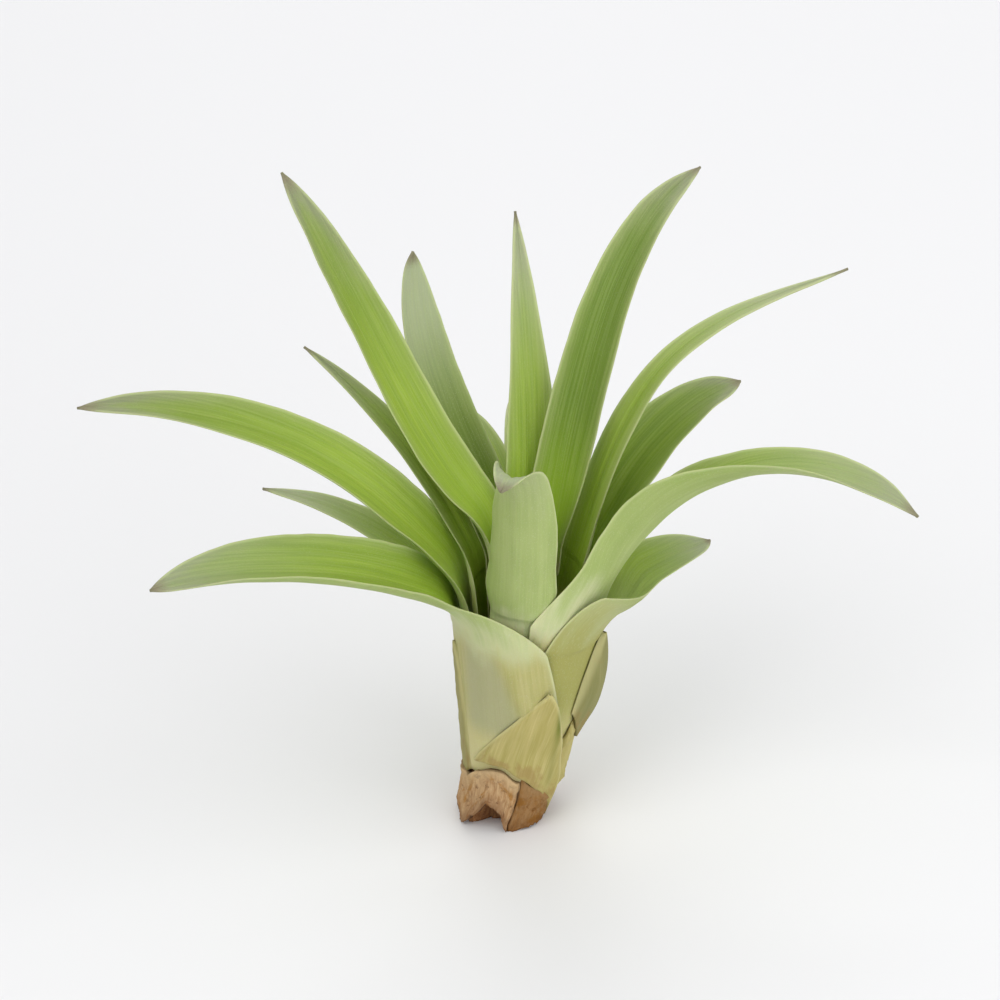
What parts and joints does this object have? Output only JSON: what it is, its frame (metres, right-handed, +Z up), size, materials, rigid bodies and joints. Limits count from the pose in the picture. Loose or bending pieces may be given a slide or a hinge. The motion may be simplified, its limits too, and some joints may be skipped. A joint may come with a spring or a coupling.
{
  "type": "air plant",
  "caption": "Small tillandsia abdita air plant: rosette of arching channelled leaves with clasping sheaths on a short stem, standing on its flat broken foot.",
  "frame": {"origin": "middle of the flat broken foot of the stem, on the surface that the plant stands on", "axes": "+Z up; +X to the viewer's right, the way the longest right-hand leaf arches; +Y away from the viewer"},
  "size_m": [0.1342, 0.0743, 0.1174],
  "materials": {
    "leaf": "soft matt green leaf with silvery scurf",
    "young_leaf": "pale yellow-green young leaf, satin",
    "outer_scale": "khaki leaf base, matt",
    "dry_husk": "dry papery brown husk, matt",
    "stem_wood": "rough dark brown broken stem"
  },
  "bodies": {
    "root": {"stem": "stem_wood", "husk_back": "dry_husk", "husk_front_left": "dry_husk", "husk_front_right": "dry_husk", "husk_left": "dry_husk", "husk_right": "dry_husk", "scale_back": "outer_scale", "scale_back_right": "outer_scale", "scale_front": "outer_scale", "scale_left": "outer_scale", "scale_right": "outer_scale", "leaf_back_left_blunt": "leaf", "leaf_back_low": "leaf", "leaf_back_middle": "leaf", "leaf_back_right_low": "leaf", "leaf_back_upright": "leaf", "leaf_front": "leaf", "leaf_left_arching": "leaf", "leaf_left_back": "leaf", "leaf_left_low": "leaf", "leaf_left_narrow": "leaf", "leaf_left_tall": "leaf", "leaf_right_arching": "leaf", "leaf_right_broad": "leaf", "leaf_right_low": "leaf", "leaf_right_narrow": "leaf", "leaf_right_tall": "leaf", "heart_bud": "young_leaf", "heart_leaf_left": "young_leaf", "heart_leaf_right": "young_leaf"}
  },
  "joints": []
}
